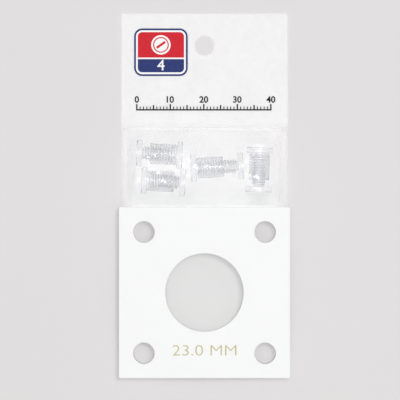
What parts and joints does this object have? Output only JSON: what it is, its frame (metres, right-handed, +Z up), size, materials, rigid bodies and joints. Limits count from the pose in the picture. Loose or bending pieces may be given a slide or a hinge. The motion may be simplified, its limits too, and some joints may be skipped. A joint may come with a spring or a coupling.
{
  "type": "acrylic coin holder",
  "caption": "Square screw-together coin holder of clear covers and a white centre plate, laid flat with a hanging header bag that holds its clear slotted screws and threaded posts.",
  "frame": {"origin": "the middle of the back cover's underside, on the axis of the coin opening", "axes": "+X right and +Y towards the bag's header as seen from the front, +Z up out of the front cover; the object lies flat on Z = 0"},
  "size_m": [0.0508, 0.1085, 0.0087],
  "materials": {
    "clear_acrylic": "clear polished acrylic",
    "white_acrylic": "opaque white acrylic, satin gloss",
    "bag_film": "hazy clear film",
    "header_film": "milky printed film"
  },
  "bodies": {
    "back_cover": {"back_cover": "clear_acrylic"},
    "centre_plate": {"centre_plate": "white_acrylic"},
    "front_cover": {"front_cover": "clear_acrylic"},
    "bag": {"bag_back_film": "bag_film", "bag_front_film": "bag_film", "bag_header": "header_film"},
    "screw_1": {"screw_1": "clear_acrylic"},
    "post_1": {"post_1": "clear_acrylic"},
    "screw_2": {"screw_2": "clear_acrylic"},
    "post_2": {"post_2": "clear_acrylic"},
    "screw_3": {"screw_3": "clear_acrylic"},
    "post_3": {"post_3": "clear_acrylic"},
    "screw_4": {"screw_4": "clear_acrylic"},
    "post_4": {"post_4": "clear_acrylic"}
  },
  "joints": [
    {"name": "centre_plate_lift", "type": "slide", "parent": "back_cover", "child": "centre_plate", "axis": [0, 0, 1], "range_m": [0, 0.03]},
    {"name": "front_cover_lift", "type": "slide", "parent": "centre_plate", "child": "front_cover", "axis": [0, 0, 1], "range_m": [0, 0.03]},
    {"name": "bag_pull", "type": "slide", "parent": "back_cover", "child": "bag", "axis": [0, 1, 0], "range_m": [0, 0.06]},
    {"name": "screw_1_turn", "type": "hinge", "parent": "bag", "child": "screw_1", "pos_m": [-0.02025, 0.04157, 0.00404], "axis": [0.9986, -0.0523, 0], "range_deg": [-361, 991]},
    {"name": "post_1_travel", "type": "slide", "parent": "bag", "child": "post_1", "axis": [-0.9986, 0.0523, 0], "range_m": [-0.0008, 0.0022]},
    {"name": "screw_2_turn", "type": "hinge", "parent": "bag", "child": "screw_2", "pos_m": [-0.0057, 0.03269, 0.00404], "axis": [-0.9986, 0.0523, 0], "range_deg": [-721, 721]},
    {"name": "post_2_travel", "type": "slide", "parent": "bag", "child": "post_2", "axis": [0.9986, -0.0523, 0], "range_m": [-0.0016, 0.0016]},
    {"name": "screw_3_turn", "type": "hinge", "parent": "bag", "child": "screw_3", "pos_m": [0.01159, 0.03773, 0.00404], "axis": [-0.9986, -0.0523, 0], "range_deg": [-361, 1891]},
    {"name": "post_3_travel", "type": "slide", "parent": "bag", "child": "post_3", "axis": [0.9986, 0.0523, 0], "range_m": [-0.0008, 0.0042]},
    {"name": "screw_4_turn", "type": "hinge", "parent": "bag", "child": "screw_4", "pos_m": [0.01605, 0.02988, 0.00404], "axis": [0.0349, 0.9994, 0], "range_deg": [-361, 811]},
    {"name": "post_4_travel", "type": "slide", "parent": "bag", "child": "post_4", "axis": [-0.0349, -0.9994, 0], "range_m": [-0.0008, 0.0018]}
  ],
  "couplings": [
    {"joint": "screw_1_turn", "follows": "post_1_travel", "rad_per_m": 7854},
    {"joint": "screw_2_turn", "follows": "post_2_travel", "rad_per_m": 7854},
    {"joint": "screw_3_turn", "follows": "post_3_travel", "rad_per_m": 7854},
    {"joint": "screw_4_turn", "follows": "post_4_travel", "rad_per_m": 7854}
  ]
}
